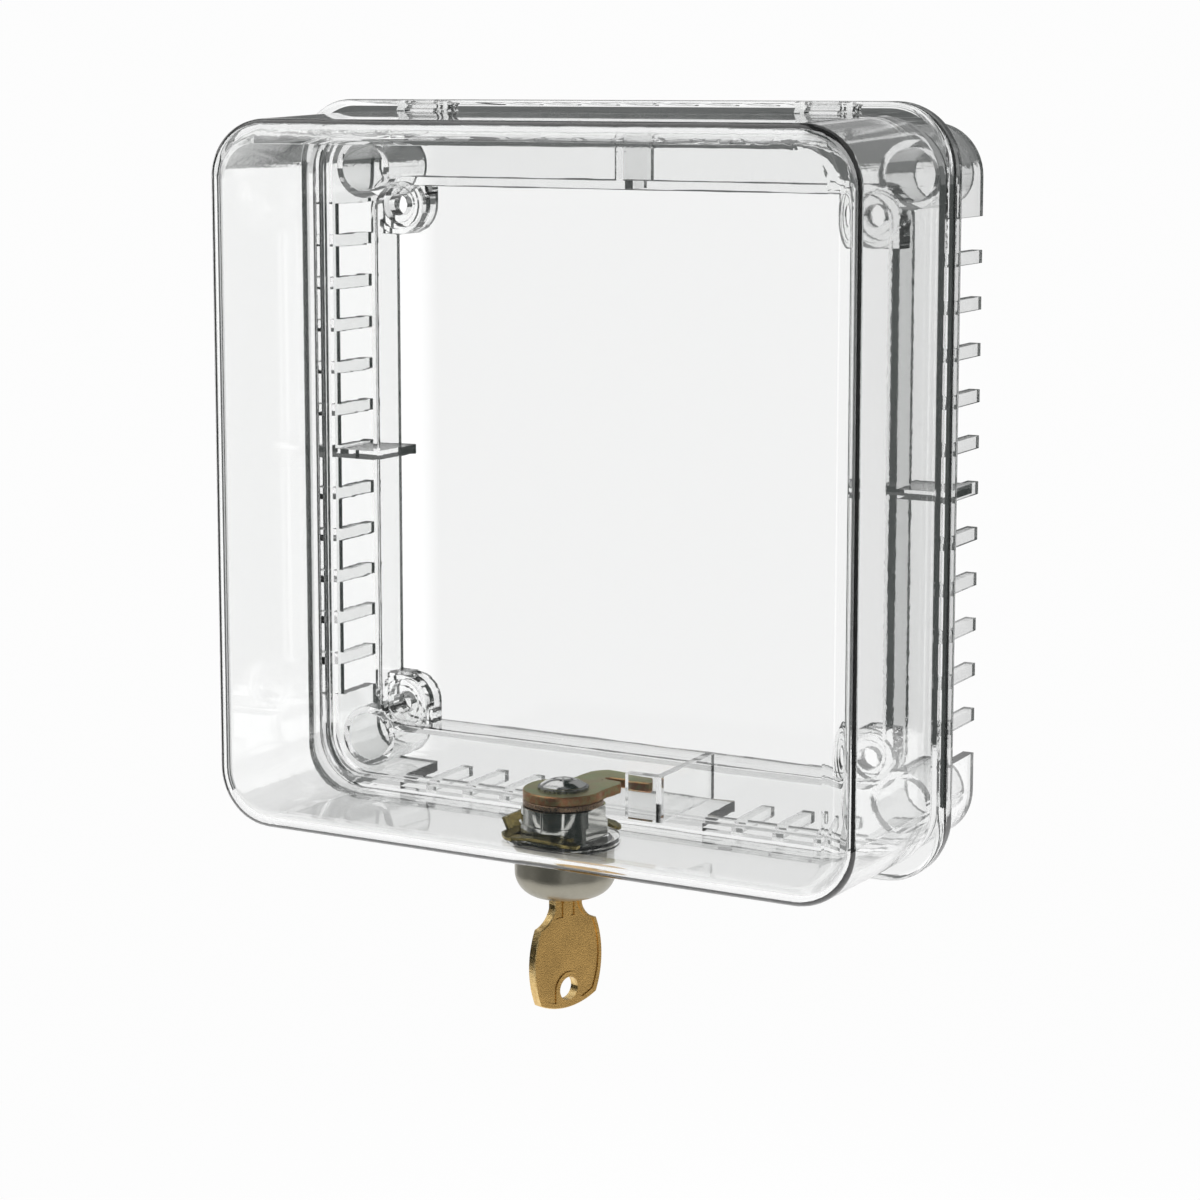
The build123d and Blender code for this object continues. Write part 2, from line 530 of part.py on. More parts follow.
with BuildPart() as head_cap:
    outer, face, dome_z, face_z = head_outline(0)
    inner, inner_face, _, inner_face_z = head_outline(CAP_WALL)
    with BuildSketch(axis_plane()):
        with BuildLine():
            Line((outer, CAP_TOP_Z), (outer, dome_z))
            ThreePointArc((outer, dome_z), dome_middle(0), (face, face_z))
            Polyline((face, face_z), (COUNTERBORE, face_z), (COUNTERBORE, inner_face_z))
            Line((COUNTERBORE, inner_face_z), (inner_face, inner_face_z))
            ThreePointArc((inner_face, inner_face_z), dome_middle(CAP_WALL), (inner, dome_z))
            Polyline((inner, dome_z), (inner, CAP_TOP_Z), (outer, CAP_TOP_Z))
        make_face()
    revolve(axis=LOCK_AXIS)
head_cap.part.label = "head_cap"

# ================================================================ plug
SLOT_LENGTH = BLADE_WIDTH + 2 * KEY_PLAY
SLOT_WIDTH = KEY_THICK + 2 * KEY_PLAY
WAFER_ZS = [PLUG_FACE_Z + FIRST_WAFER + i * WAFER_PITCH for i in range(WAFERS)]
SPRING_PLACE = WAFER_WIDTH / 2 + SPRING_RADIUS + SPRING_WIRE + WAFER_PLAY

with BuildPart() as lock_plug:
    with BuildSketch(lock_plane(PLUG_FACE_Z)):
        Circle(PLUG_FLANGE_RADIUS)
    extrude(amount=PLUG_FLANGE_HEIGHT)
    with BuildSketch(lock_plane(PLUG_FACE_Z)):
        Circle(PLUG_RADIUS)
    extrude(amount=BODY_TOP_Z + END_GAP - PLUG_FACE_Z)
    with BuildSketch(lock_plane(BODY_TOP_Z + END_GAP, KEY_TURN)):
        Rectangle(TAIL_SIZE, TAIL_SIZE)
        Circle(TAIL_SIZE * TAIL_CORNER, mode=Mode.INTERSECT)
    extrude(amount=STOP_THICK + CAM_THICK - 2 * TAIL_CLEARANCE)
    # keyway
    with BuildSketch(lock_plane(PLUG_FACE_Z, KEY_TURN)):
        Rectangle(SLOT_LENGTH, SLOT_WIDTH)
    extrude(amount=BLADE_LENGTH + KEY_PLAY, mode=Mode.SUBTRACT)
    # slots that the wafers slide in, each with a pocket for its spring
    for z in WAFER_ZS:
        with BuildSketch(lock_plane(z - WAFER_THICK / 2 - WAFER_PLAY / 2, KEY_TURN)):
            Rectangle(3 * PLUG_RADIUS, WAFER_WIDTH + WAFER_PLAY)
            with Locations((0, SPRING_PLACE)):
                Rectangle(SPRING_LENGTH + 2 * SPRING_ROOM, 2 * (SPRING_RADIUS + SPRING_WIRE + SPRING_ROOM))
        extrude(amount=WAFER_THICK + WAFER_PLAY, mode=Mode.SUBTRACT)
    # thread hole for the cam's screw
    with BuildSketch(lock_plane(CAM_TOP_Z)):
        Circle(SCREW_RADIUS + SCREW_PLAY)
    extrude(amount=-SCREW_LENGTH - WASHER_THICK, mode=Mode.SUBTRACT)
lock_plug.part.label = "lock_plug"

# ================================================================ wafers and their springs


def make_wafer(z, lift):
    """A flat wafer with a window for the blade; its ends follow the plug's barrel."""
    with BuildPart() as wafer:
        with BuildSketch(lock_plane(z - WAFER_THICK / 2, KEY_TURN)):
            Circle(PLUG_RADIUS - WAFER_PLAY)
            Rectangle(3 * PLUG_RADIUS, WAFER_WIDTH, mode=Mode.INTERSECT)
            with Locations((lift / 2, 0)):
                Rectangle(
                    SLOT_LENGTH + 2 * WAFER_WINDOW_PLAY + lift,
                    SLOT_WIDTH + WAFER_WINDOW_PLAY,
                    mode=Mode.SUBTRACT,
                )
        extrude(amount=WAFER_THICK)
    return wafer.part


def make_spring(z):
    """A small coil beside the wafer, lying along the way that the wafer slides."""
    turn = radians(KEY_TURN)
    along = Vector(cos(turn), sin(turn), 0)
    side = Vector(-sin(turn), cos(turn), 0)
    start = Vector(0, LOCK_Y, z) + side * SPRING_PLACE - along * (SPRING_LENGTH / 2 - SPRING_WIRE)
    reach = SPRING_LENGTH - 2 * SPRING_WIRE
    coil = Helix(reach / SPRING_TURNS, reach, SPRING_RADIUS - SPRING_WIRE)
    coil = Plane(origin=start, z_dir=along) * coil
    ring = Plane(origin=coil @ 0, z_dir=coil % 0) * Circle(SPRING_WIRE)
    return sweep(ring, path=coil, is_frenet=True)


wafers = [make_wafer(z, lift) for z, lift in zip(WAFER_ZS, WAFER_LIFTS)]
springs = [make_spring(z) for z in WAFER_ZS]
for number, (wafer, spring) in enumerate(zip(wafers, springs), start=1):
    wafer.label = f"wafer_{number}"
    spring.label = f"wafer_spring_{number}"

# ================================================================ clip that holds the lock in the cover
LEG_START = -BODY_FLAT - CLIP_PLAY
LEG_MIDDLE = (LEG_START + CLIP_LEG_END) / 2

with BuildPart() as lock_clip:
    # closed end of the horseshoe, beside the left flat
    with BuildSketch(lock_plane(PAD_TOP_Z)):
        with Locations((LEG_START, 0)):
            Rectangle(CLIP_BACK + LEG_START, 2 * CLIP_OUTER, align=(Align.MAX, Align.CENTER))
    extrude(amount=CLIP_THICK)
    # two bowed legs in the grooves
    for side in (-1, 1):
        inner, outer = (CLIP_INNER, CLIP_OUTER) if side > 0 else (-CLIP_OUTER, -CLIP_INNER)
        with BuildSketch(Plane.XZ.offset(-LOCK_Y - outer)):
            with BuildLine():
                ThreePointArc(
                    (LEG_START, PAD_TOP_Z), (LEG_MIDDLE, PAD_TOP_Z + CLIP_BOW), (CLIP_LEG_END, PAD_TOP_Z)
                )
                Line((CLIP_LEG_END, PAD_TOP_Z), (CLIP_LEG_END, PAD_TOP_Z + CLIP_THICK))
                ThreePointArc(
                    (CLIP_LEG_END, PAD_TOP_Z + CLIP_THICK),
                    (LEG_MIDDLE, PAD_TOP_Z + CLIP_BOW + CLIP_THICK),
                    (LEG_START, PAD_TOP_Z + CLIP_THICK),
                )
                Line((LEG_START, PAD_TOP_Z + CLIP_THICK), (LEG_START, PAD_TOP_Z))
            make_face()
        extrude(amount=outer - inner)
    with BuildSketch(lock_plane(PAD_TOP_Z)):
        Circle(CLIP_RADIUS)
    extrude(amount=CLIP_TAB_HEIGHT, mode=Mode.INTERSECT)
    # the tab folded up at the closed end
    with BuildSketch(Plane.XZ.offset(-LOCK_Y - CLIP_TAB_WIDTH / 2)):
        with BuildLine():
            Polyline(
                (-CLIP_BACK + CLIP_THICK, PAD_TOP_Z),
                (-CLIP_BACK, PAD_TOP_Z),
                (-CLIP_BACK - CLIP_TAB_LEAN, PAD_TOP_Z + CLIP_TAB_HEIGHT),
                (-CLIP_BACK - CLIP_TAB_LEAN + CLIP_THICK, PAD_TOP_Z + CLIP_TAB_HEIGHT),
                close=True,
            )
        make_face()
    extrude(amount=CLIP_TAB_WIDTH)
lock_clip.part.label = "lock_clip"

# ================================================================ stop washer, cam, tooth washer and screw
with BuildPart() as stop_washer:
    with BuildSketch(lock_plane(BODY_TOP_Z + END_GAP)):
        Circle(CAM_HUB_RADIUS)
    extrude(amount=STOP_THICK)
    chamfer(stop_washer.edges().filter_by(GeomType.CIRCLE), CAM_EDGE)
    with BuildSketch(lock_plane(BODY_TOP_Z + END_GAP, KEY_TURN)):
        Rectangle(TAIL_SIZE + 2 * TAIL_CLEARANCE, TAIL_SIZE + 2 * TAIL_CLEARANCE)
        Circle(TAIL_SIZE * TAIL_CORNER + TAIL_CLEARANCE, mode=Mode.INTERSECT)
    extrude(amount=STOP_THICK, mode=Mode.SUBTRACT)
stop_washer.part.label = "stop_washer"

# the arm as seen from above, from the lock's axis: x to the right, y towards the wall
CAM_ARM = [
    (-7.4, 5.6), (-2.8, 10.2), (-2.3, 17.0), (0.4, 20.6), (13.8, 18.9), (16.3, 14.0),
    (5.2, 13.7), (2.6, 13.1), (5.2, 12.0), (8.8, 11.7), (10.0, 9.1), (8.4, -3.8),
]

with BuildPart() as hook_cam:
    with BuildSketch(lock_plane(CAM_UNDER_Z)):
        Circle(CAM_HUB_RADIUS)
        with BuildLine():
            Polyline(*CAM_ARM, close=True)
        make_face()
    extrude(amount=CAM_THICK)
    past_hub = LOCK_Y + CAM_HUB_RADIUS + CAM_CORNER
    hook_corners = [edge for edge in hook_cam.edges().filter_by(Axis.Z) if edge.center().Y > past_hub]
    fillet(hook_corners, CAM_CORNER)
    chamfer(hook_cam.faces().filter_by(Plane.XY).edges(), CAM_EDGE)
    with BuildSketch(lock_plane(CAM_UNDER_Z, KEY_TURN)):
        Rectangle(TAIL_SIZE + 2 * TAIL_CLEARANCE, TAIL_SIZE + 2 * TAIL_CLEARANCE)
        Circle(TAIL_SIZE * TAIL_CORNER + TAIL_CLEARANCE, mode=Mode.INTERSECT)
    extrude(amount=CAM_THICK, mode=Mode.SUBTRACT)
hook_cam.part.label = "hook_cam"

with BuildPart() as tooth_washer:
    with BuildSketch(lock_plane(CAM_TOP_Z)):
        Circle(WASHER_RADIUS)
        with PolarLocations(WASHER_RADIUS + NOTCH_OUT, WASHER_TEETH):
            Circle(NOTCH_RADIUS, mode=Mode.SUBTRACT)
        Circle(SCREW_RADIUS + SCREW_PLAY, mode=Mode.SUBTRACT)
    extrude(amount=WASHER_THICK)
tooth_washer.part.label = "tooth_washer"

SCREW_SEAT_Z = CAM_TOP_Z + WASHER_THICK
SCREW_TOP_Z = SCREW_SEAT_Z + SCREW_HEAD_HEIGHT
SCREW_END_Z = SCREW_SEAT_Z - SCREW_LENGTH
SCREW_EDGE_Z = SCREW_SEAT_Z + SCREW_HEAD_HEIGHT * SCREW_EDGE

with BuildPart() as cam_screw:
    with BuildSketch(axis_plane()):
        with BuildLine():
            Line((0, SCREW_END_Z), (0, SCREW_TOP_Z))
            ThreePointArc(
                (0, SCREW_TOP_Z),
                (SCREW_HEAD_RADIUS * SCREW_CROWN[0], SCREW_SEAT_Z + SCREW_HEAD_HEIGHT * SCREW_CROWN[1]),
                (SCREW_HEAD_RADIUS, SCREW_EDGE_Z),
            )
            Line((SCREW_HEAD_RADIUS, SCREW_EDGE_Z), (SCREW_HEAD_RADIUS, SCREW_SEAT_Z))
            Line((SCREW_HEAD_RADIUS, SCREW_SEAT_Z), (SCREW_RADIUS, SCREW_SEAT_Z))
            Polyline((SCREW_RADIUS, SCREW_SEAT_Z), (SCREW_RADIUS, SCREW_END_Z), (0, SCREW_END_Z))
        make_face()
    revolve(axis=LOCK_AXIS)
    with BuildSketch(lock_plane(SCREW_TOP_Z, CROSS_TURN)):
        Rectangle(CROSS_LENGTH, CROSS_WIDTH)
        Rectangle(CROSS_WIDTH, CROSS_LENGTH)
    extrude(amount=-CROSS_DEPTH, mode=Mode.SUBTRACT)
cam_screw.part.label = "cam_screw"

# ================================================================ key


def bow_edge(inset):
    """Closed outline of the bow in the key's plane, drawn in by an inset."""
    neck, shoulder, middle = NECK_HALF - inset, SHOULDER_HALF - inset, BOW_HALF - inset
    top, flare = SHOULDER_Z - NECK_LENGTH, SHOULDER_Z - NECK_LENGTH - FLARE_HEIGHT
    widest = SHOULDER_Z - BOW_MIDDLE
    corner, end = SHOULDER_Z - BOW_CORNER + inset, SHOULDER_Z - BOW_END + inset
    hollow_x, hollow_z = neck + FLARE_IN * (shoulder - neck), top - FLARE_DOWN * FLARE_HEIGHT
    with BuildLine() as edge:
        ThreePointArc((neck, top), (hollow_x, hollow_z), (shoulder, flare))
        ThreePointArc((shoulder, flare), (middle, widest), (shoulder, corner))
        ThreePointArc((shoulder, corner), (0, end), (-shoulder, corner))
        ThreePointArc((-shoulder, corner), (-middle, widest), (-shoulder, flare))
        ThreePointArc((-shoulder, flare), (-hollow_x, hollow_z), (-neck, top))
        Line((-neck, top), (neck, top))
    return edge.line


HOLE_Z = SHOULDER_Z - KEY_HOLE_DOWN

with BuildPart() as key:
    with BuildSketch(key_plane()):
        with BuildLine():
            add(bow_edge(0))
        make_face()
        with Locations((0, SHOULDER_Z - NECK_LENGTH)):
            Rectangle(2 * NECK_HALF, NECK_LENGTH, align=(Align.CENTER, Align.MIN))
    extrude(amount=KEY_THICK / 2, both=True)
    bow_faces = key.faces().filter_by(key_plane())
    below_neck = SHOULDER_Z - NECK_LENGTH - KEY_EDGE
    chamfer([edge for edge in bow_faces.edges() if edge.center().Z < below_neck], KEY_EDGE)
    # sunk field on both faces inside a raised border, with a raised collar round the hole
    for face_side in (-1, 1):
        with BuildSketch(key_plane().offset(face_side * KEY_THICK / 2)):
            with BuildLine():
                add(bow_edge(BOW_RIM))
            make_face()
            with Locations((0, HOLE_Z)):
                Circle(KEY_HOLE_RADIUS + HOLE_COLLAR, mode=Mode.SUBTRACT)
                Rectangle(
                    2 * (KEY_HOLE_RADIUS + HOLE_COLLAR),
                    BOW_END,
                    align=(Align.CENTER, Align.MAX),
                    mode=Mode.SUBTRACT,
                )
        extrude(amount=-face_side * BOW_RECESS, mode=Mode.SUBTRACT)
    with BuildSketch(key_plane()):
        with Locations((0, HOLE_Z)):
            Circle(KEY_HOLE_RADIUS)
    extrude(amount=KEY_THICK, both=True, mode=Mode.SUBTRACT)
    # blade with its cuts along one edge and a pointed end
    tip_z = PLUG_FACE_Z + BLADE_LENGTH - KEY_PLAY
    with BuildSketch(key_plane()):
        half = BLADE_WIDTH / 2
        with BuildLine():
            points = [(-half, SHOULDER_Z), (-half, tip_z - TIP_BACK[1])]
            points += [(-half + TIP_BACK[0], tip_z), (half - TIP_CUT_SIDE, tip_z)]
            for z, depth in reversed(list(zip(WAFER_ZS, CUT_DEPTHS))):
                points += [(half - depth + CUT_RAMP[0], z + CUT_FLAT + CUT_RAMP[1])]
                points += [(half - depth, z + CUT_FLAT), (half - depth, z - CUT_FLAT)]
            points += [(half, WAFER_ZS[0] - BLADE_ROOT), (half, SHOULDER_Z)]
            Polyline(*points, close=True)
        make_face()
    extrude(amount=KEY_THICK / 2, both=True)
    # milled grooves, two on the side that faces the front right, one on the other
    for face_side, grooves in ((1, FRONT_GROOVES), (-1, BACK_GROOVES)):
        with BuildSketch(key_plane().offset(face_side * KEY_THICK / 2)):
            for across, width in grooves:
                with Locations((across, tip_z)):
                    Rectangle(width, tip_z - SHOULDER_Z + GROOVE_RUN_OUT, align=(Align.CENTER, Align.MAX))
        extrude(amount=-face_side * GROOVE_DEPTH, mode=Mode.SUBTRACT)
key.part.label = "key"

# ================================================================ write the pieces
pieces = [ring_base, cover_shell, lock_housing, head_cap, lock_plug, lock_clip, stop_washer]
pieces += [hook_cam, tooth_washer, cam_screw, key]
for solid in [piece.part for piece in pieces] + wafers + springs:
    placed = solid.moved(Location((0, SCREW_SEAT, 0)))
    placed.label = solid.label
    export_step(placed, f"parts/{solid.label}.step")
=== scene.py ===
import json
import math

import bpy
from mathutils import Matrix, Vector

# A clear plastic lock box for a wall thermostat, hung in a pale studio.
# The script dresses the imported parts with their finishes, then sets the floor, lamps and camera.
# Metres, +Z up, the origin between the four screw holes, the front of the cover towards -y.

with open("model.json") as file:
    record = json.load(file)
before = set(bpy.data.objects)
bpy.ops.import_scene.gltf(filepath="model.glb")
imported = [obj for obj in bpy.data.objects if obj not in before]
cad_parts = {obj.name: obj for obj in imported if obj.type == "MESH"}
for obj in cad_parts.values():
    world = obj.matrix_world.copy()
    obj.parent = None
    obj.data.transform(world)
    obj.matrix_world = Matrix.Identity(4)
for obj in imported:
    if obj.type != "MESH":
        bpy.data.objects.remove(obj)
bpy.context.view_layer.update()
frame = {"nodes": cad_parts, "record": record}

# ---------------------------------------------------------------- camera, worked out from the box's own edges
CAMERA_PLACE = (0.3151, -0.586, 0.0914)
CAMERA_AZIMUTH = 28.742       # degrees, turned from straight in front towards the right
CAMERA_PITCH = 7.489          # degrees, looking down
CAMERA_LENS = 85.856
CAMERA_SENSOR = 36.0
CAMERA_SHIFT_Y = -0.12        # small, so that the whole box is in view from every side

# ---------------------------------------------------------------- studio
FLOOR_Z = -0.36
FLOOR_X = (-0.7, 0.7)         # it is narrow and ends before the camera: the lock's body shows a dark room
FLOOR_Y = (-0.55, 1.2)
FLOOR_COLOUR = (0.3, 0.3, 0.3, 1.0)
FLOOR_SHARE = (0.78, 0.78, 0.78, 1.0)         # glow under the box, where the floor also takes light and shadow
FLOOR_FADE = (0.3, 0.62)      # distances from the middle over which the floor fades into the backdrop
BLACK = (0.0, 0.0, 0.0, 1.0)
WHITE = (1.0, 1.0, 1.0, 1.0)
ROOM_LIGHT = 0.3              # plain light of the room on the floor
BACKDROP = (0.98, 0.98, 0.98, 1.0)
DARK_ROOM = (0.014, 0.02, 0.018, 1.0)
ROOM_ZONES = (
    # what metal and clear plastic see of the room:
    # name, azimuth from straight behind the box in degrees, sine of the height, brightness
    ("backdrop", (-66.0, -4.0), (-1.2, -0.0166), 1.0),
    ("backdrop_left", (-66.0, -31.0), (-1.2, -0.0166), 1.2),
    ("left_horizon", (-66.0, -36.0), (-0.02, 0.13), 1.0),
    ("upper_sheet", (-120.0, -20.0), (0.17, 0.275), 0.75),
    ("upper_left", (-120.0, -20.0), (0.275, 0.5), 0.2),
    ("upper_right", (-20.0, 60.0), (0.17, 0.75), 0.3),
    ("overhead_left", (-95.0, -30.0), (0.5, 0.95), 0.9),
    ("overhead_front", (-178.0, -95.0), (0.4, 0.95), 1.3),
    ("lower_room", (-75.0, 14.0), (-1.2, -0.02), 0.16),
    ("lower_right", (14.0, 60.0), (-1.2, -0.02), 0.05),
    ("left_box", (-98.0, -82.0), (-0.5, 0.45), 0.5),
    ("key_card", (56.0, 74.0), (-0.7, -0.27), 1.1),
    ("right_box", (84.0, 100.0), (-0.5, 0.8), 0.1),
    ("front_strip", (148.0, 154.0), (-0.5, 0.9), 1.2),
)
HORIZON_STRIP = ((-66.0, 60.0), (-0.03, 0.17), 0.13)
CLEAR_LIGHT = 0.96            # brightness straight through clear plastic in all other directions:
CLEAR_SIDE = 70.0             # further round than this, in degrees from straight behind the box,
CLEAR_LOW = -0.0166            # or lower than this sine of the height,
CLEAR_HIGH = 0.4              # or higher than this
CLEAR_EDGE = 0.02
STREAKS = 700.0               # fine level streaks in the horizon strip, per unit of the sine of the height
ZONE_EDGE = 3.0               # softness of the zones' sides in degrees
ZONE_TOP_EDGE = 0.004         # and of their upper and lower ends
LAMPS = (
    # name, place, size across, power in watts
    ("key_lamp", (-0.75, -0.85, 0.95), 0.7, 9.0),
    ("fill_lamp", (0.95, -0.55, 0.55), 0.5, 3.5),
    ("rim_lamp", (0.15, 0.95, 0.75), 0.6, 4.0),
)
LAMP_AIM = (0.0, -0.03, -0.02)


# ================================================================ node helpers
def add_node(tree, kind, **settings):
    node = tree.nodes.new(kind)
    for name, value in settings.items():
        setattr(node, name, value)
    return node


def link(tree, source, target):
    tree.links.new(source, target)


def map_range(tree, value, low, high, to_low, to_high):
    node = add_node(tree, "ShaderNodeMapRange")
    node.inputs["From Min"].default_value = low
    node.inputs["From Max"].default_value = high
    node.inputs["To Min"].default_value = to_low
    node.inputs["To Max"].default_value = to_high
    link(tree, value, node.inputs["Value"])
    return node.outputs["Result"]


def calculate(tree, operation, first, second):
    """One sum on two values, each a socket or a number."""
    node = add_node(tree, "ShaderNodeMath", operation=operation)
    for socket, value in zip(node.inputs, (first, second)):
        if isinstance(value, bpy.types.NodeSocket):
            link(tree, value, socket)
        else:
            socket.default_value = value
    return node.outputs[0]


def mix_colours(tree, factor, first, second, blend="MIX"):
    node = add_node(tree, "ShaderNodeMix", data_type="RGBA", blend_type=blend)
    for socket, value in ((node.inputs[0], factor), (node.inputs[6], first), (node.inputs[7], second)):
        if isinstance(value, bpy.types.NodeSocket):
            link(tree, value, socket)
        else:
            socket.default_value = value
    return node.outputs[2]


def new_group(name, inputs, outputs):
    """An empty shader node group with named sockets; returns its tree and its two end nodes."""
    tree = bpy.data.node_groups.new(name, "ShaderNodeTree")
    for socket_name, kind, value in inputs:
        socket = tree.interface.new_socket(socket_name, in_out="INPUT", socket_type=kind)
        socket.default_value = value
    for socket_name, kind in outputs:
        tree.interface.new_socket(socket_name, in_out="OUTPUT", socket_type=kind)
    return tree, tree.nodes.new("NodeGroupInput"), tree.nodes.new("NodeGroupOutput")


def place_group(tree, group, **values):
    """Puts a node group in a material with its own values."""
    node = add_node(tree, "ShaderNodeGroup", node_tree=group)
    for name, value in values.items():
        node.inputs[name.replace("_", " ")].default_value = value
    return node


# ================================================================ shared effects
def moulding_flow_group():
    """Slow waves and fine streaks that injection moulding leaves in clear plastic."""
    tree, start, end = new_group(
        "moulding_flow",
        [("Wave Scale", "NodeSocketFloat", 30.0), ("Streak Scale", "NodeSocketFloat", 400.0),
         ("Streak Share", "NodeSocketFloat", 0.2)],
        [("Height", "NodeSocketFloat"), ("Haze", "NodeSocketFloat")],
    )
    place = add_node(tree, "ShaderNodeTexCoord")
    waves = add_node(tree, "ShaderNodeTexNoise")
    waves.inputs["Detail"].default_value = 1.0
    link(tree, place.outputs["Object"], waves.inputs["Vector"])
    link(tree, start.outputs["Wave Scale"], waves.inputs["Scale"])
    stretch = add_node(tree, "ShaderNodeMapping")
    stretch.inputs["Scale"].default_value = (0.06, 1.0, 1.0)
    link(tree, place.outputs["Object"], stretch.inputs["Vector"])
    streaks = add_node(tree, "ShaderNodeTexNoise")
    streaks.inputs["Detail"].default_value = 2.0
    link(tree, stretch.outputs["Vector"], streaks.inputs["Vector"])
    link(tree, start.outputs["Streak Scale"], streaks.inputs["Scale"])
    share = add_node(tree, "ShaderNodeMath", operation="MULTIPLY")
    link(tree, streaks.outputs["Fac"], share.inputs[0])
    link(tree, start.outputs["Streak Share"], share.inputs[1])
    total = add_node(tree, "ShaderNodeMath", operation="ADD")
    link(tree, waves.outputs["Fac"], total.inputs[0])
    link(tree, share.outputs[0], total.inputs[1])
    link(tree, total.outputs[0], end.inputs["Height"])
    link(tree, waves.outputs["Fac"], end.inputs["Haze"])
    return tree


def plating_mottle_group():
    """Cloudy change between three tints, as on passivated zinc."""
    tree, start, end = new_group(
        "plating_mottle",
        [("Base Tint", "NodeSocketColor", (0.5, 0.5, 0.3, 1.0)), ("Second Tint", "NodeSocketColor", (0.5, 0.4, 0.3, 1.0)),
         ("Third Tint", "NodeSocketColor", (0.4, 0.5, 0.3, 1.0)), ("Cloud Scale", "NodeSocketFloat", 250.0)],
        [("Color", "NodeSocketColor"), ("Cloud", "NodeSocketFloat")],
    )
    place = add_node(tree, "ShaderNodeTexCoord")
    clouds = add_node(tree, "ShaderNodeTexNoise")
    clouds.inputs["Detail"].default_value = 4.0
    link(tree, place.outputs["Object"], clouds.inputs["Vector"])
    link(tree, start.outputs["Cloud Scale"], clouds.inputs["Scale"])
    first_mask = map_range(tree, clouds.outputs["Fac"], 0.42, 0.62, 0.0, 1.0)
    separate = add_node(tree, "ShaderNodeSeparateColor")
    link(tree, clouds.outputs["Color"], separate.inputs[0])
    second_mask = map_range(tree, separate.outputs[1], 0.5, 0.7, 0.0, 1.0)
    first = mix_colours(tree, first_mask, start.outputs["Base Tint"], start.outputs["Second Tint"])
    second = mix_colours(tree, second_mask, first, start.outputs["Third Tint"])
    link(tree, second, end.inputs["Color"])
    link(tree, clouds.outputs["Fac"], end.inputs["Cloud"])
    return tree


def painted_side_shading_group():
    """Mask for painted light and shade: 1 where the surface turns away from the part's flat faces, broken up by noise;
    the sides it marks get another tint that stands in for how light falls on them.
    """
    tree, start, end = new_group(
        "edge_tint_and_painted_shading",
        [("Flat Axis", "NodeSocketVector", (0.0, 0.0, 1.0)), ("Breakup Scale", "NodeSocketFloat", 700.0)],
        [("Mask", "NodeSocketFloat")],
    )
    place = add_node(tree, "ShaderNodeTexCoord")
    facing = add_node(tree, "ShaderNodeVectorMath", operation="DOT_PRODUCT")
    link(tree, place.outputs["Normal"], facing.inputs[0])
    link(tree, start.outputs["Flat Axis"], facing.inputs[1])
    flatness = add_node(tree, "ShaderNodeMath", operation="ABSOLUTE")
    link(tree, facing.outputs["Value"], flatness.inputs[0])
    edge = map_range(tree, flatness.outputs[0], 0.8, 0.97, 1.0, 0.0)
    breakup = add_node(tree, "ShaderNodeTexNoise")
    link(tree, place.outputs["Object"], breakup.inputs["Vector"])
    link(tree, start.outputs["Breakup Scale"], breakup.inputs["Scale"])
    grain = map_range(tree, breakup.outputs["Fac"], 0.35, 0.6, 0.35, 1.0)
    link(tree, calculate(tree, "MULTIPLY", edge, grain), end.inputs["Mask"])
    return tree


def brushed_grain_group():
    """Fine scratches drawn out along one direction, with a change in roughness between them."""
    tree, start, end = new_group(
        "brushed_grain",
        [("Stretch", "NodeSocketVector", (1.0, 1.0, 0.05)), ("Grain Scale", "NodeSocketFloat", 3000.0),
         ("Low Roughness", "NodeSocketFloat", 0.25), ("High Roughness", "NodeSocketFloat", 0.45)],
        [("Roughness", "NodeSocketFloat"), ("Height", "NodeSocketFloat")],
    )
    place = add_node(tree, "ShaderNodeTexCoord")
    stretch = add_node(tree, "ShaderNodeVectorMath", operation="MULTIPLY")
    link(tree, place.outputs["Object"], stretch.inputs[0])
    link(tree, start.outputs["Stretch"], stretch.inputs[1])
    grain = add_node(tree, "ShaderNodeTexNoise")
    grain.inputs["Detail"].default_value = 3.0
    link(tree, stretch.outputs[0], grain.inputs["Vector"])
    link(tree, start.outputs["Grain Scale"], grain.inputs["Scale"])
    rough = add_node(tree, "ShaderNodeMapRange")
    link(tree, grain.outputs["Fac"], rough.inputs["Value"])
    rough.inputs["From Min"].default_value = 0.3
    rough.inputs["From Max"].default_value = 0.7
    link(tree, start.outputs["Low Roughness"], rough.inputs["To Min"])
    link(tree, start.outputs["High Roughness"], rough.inputs["To Max"])
    link(tree, rough.outputs["Result"], end.inputs["Roughness"])
    link(tree, grain.outputs["Fac"], end.inputs["Height"])
    return tree


FLOW = moulding_flow_group()
MOTTLE = plating_mottle_group()
# painted light on the sides of the metal parts
SIDE_SHADING_PAINT = painted_side_shading_group()
BRUSHED = brushed_grain_group()


# ================================================================ finishes
ALONG_Z = (1.0, 1.0, 0.04)
ALONG_X = (0.04, 1.0, 1.0)
EVEN = (1.0, 1.0, 1.0)
UP = (0.0, 0.0, 1.0)
KEY_TURN = math.radians(72.0)          # direction of the key's width, as in the lock at rest
KEY_AXIS = (math.sin(KEY_TURN), -math.cos(KEY_TURN), 0.0)


def new_material(name):
    """A material with an empty Principled shader joined to its output."""
    material = bpy.data.materials.new(name)
    material.use_nodes = True
    tree = material.node_tree
    shader = tree.nodes["Principled BSDF"]
    return material, tree, shader


def add_bump(tree, shader, height, strength, distance):
    bump = add_node(tree, "ShaderNodeBump")
    bump.inputs["Strength"].default_value = strength
    bump.inputs["Distance"].default_value = distance
    link(tree, height, bump.inputs["Height"])
    link(tree, bump.outputs["Normal"], shader.inputs["Normal"])


